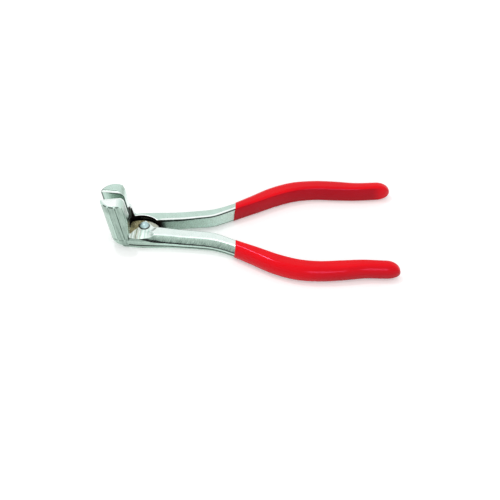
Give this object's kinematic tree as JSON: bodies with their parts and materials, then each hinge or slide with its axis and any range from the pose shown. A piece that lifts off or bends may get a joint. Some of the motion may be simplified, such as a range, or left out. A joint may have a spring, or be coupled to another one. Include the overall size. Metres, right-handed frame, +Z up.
{
  "type": "battery terminal spreader",
  "caption": "Pliers with upright half-round jaws that spread when the dipped handles are squeezed, for opening a battery cable clamp.",
  "frame": {"origin": "on the rivet's axis, in the plane that the tool lies on, at the rivet's flush tail", "axes": "+X from the rivet towards the handles' ends, +Z up along the upright jaws, +Y towards the far arm"},
  "size_m": [0.166, 0.0796, 0.032],
  "materials": {
    "forged_steel": "polished forging",
    "rivet_steel": "bright",
    "red_vinyl": "glossy dip"
  },
  "bodies": {
    "far_side": {"far_arm": "forged_steel", "pivot_rivet": "rivet_steel", "far_grip": "red_vinyl"},
    "near_side": {"near_arm": "forged_steel", "near_grip": "red_vinyl"}
  },
  "joints": [
    {"name": "squeeze", "type": "hinge", "parent": "far_side", "child": "near_side", "pos_m": [0, 0, 0.00525], "axis": [0, 0, 1], "range_deg": [-16, 12]}
  ]
}
